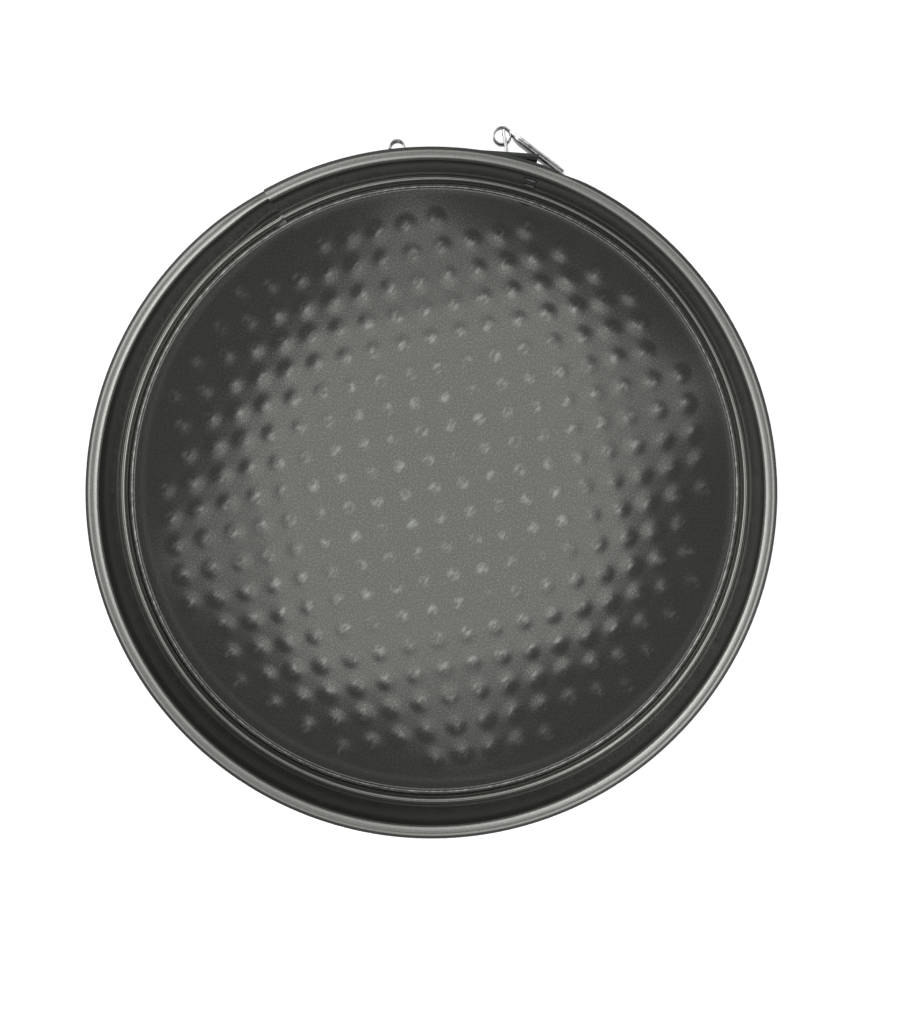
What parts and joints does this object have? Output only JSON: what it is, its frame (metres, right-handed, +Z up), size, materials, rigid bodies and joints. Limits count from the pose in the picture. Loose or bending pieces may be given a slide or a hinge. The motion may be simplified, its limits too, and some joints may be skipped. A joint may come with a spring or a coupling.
{
  "type": "springform cake pan",
  "caption": "Round springform cake pan with its latch open: coated steel band with rolled rim, bumped lift-out base, riveted keeper hook, pivoting lever and wire bail.",
  "frame": {"origin": "centre of the base plate's flat underside, on the surface the pan stands on", "axes": "+Z up along the pan's axis, +Y from the centre towards the side with the latch, +X to the right seen from above with the latch at the top"},
  "size_m": [0.2762, 0.2877, 0.065],
  "materials": {
    "coated_band": "satin dark grey non-stick coating on thin steel",
    "coated_base": "finely speckled dark grey non-stick coating on thin steel",
    "plated_steel": "bright nickel plate on pressed steel strip",
    "plated_wire": "bright plated steel wire",
    "rivet_steel": "bright steel rivets and pin"
  },
  "bodies": {
    "base": {"base_plate": "coated_base"},
    "band": {"band": "coated_band", "keeper_hook": "plated_steel", "keeper_rivet_upper": "rivet_steel", "keeper_rivet_lower": "rivet_steel", "lever_bracket": "plated_steel", "bracket_rivet_upper": "rivet_steel", "bracket_rivet_lower": "rivet_steel", "lever_pin": "rivet_steel"},
    "lever": {"lever": "plated_steel"},
    "bail": {"wire_bail": "plated_wire"}
  },
  "joints": [
    {"name": "band_lift", "type": "slide", "parent": "base", "child": "band", "axis": [0, 0, 1], "range_m": [0, 0.1]},
    {"name": "lever_swing", "type": "hinge", "parent": "band", "child": "lever", "pos_m": [0.05567, 0.12562, 0.036], "axis": [0, 0, -1], "range_deg": [0, 130]},
    {"name": "bail_swing", "type": "hinge", "parent": "lever", "child": "bail", "pos_m": [0.02907, 0.14769, 0.036], "axis": [0, 0, -1], "range_deg": [-20, 150]}
  ]
}
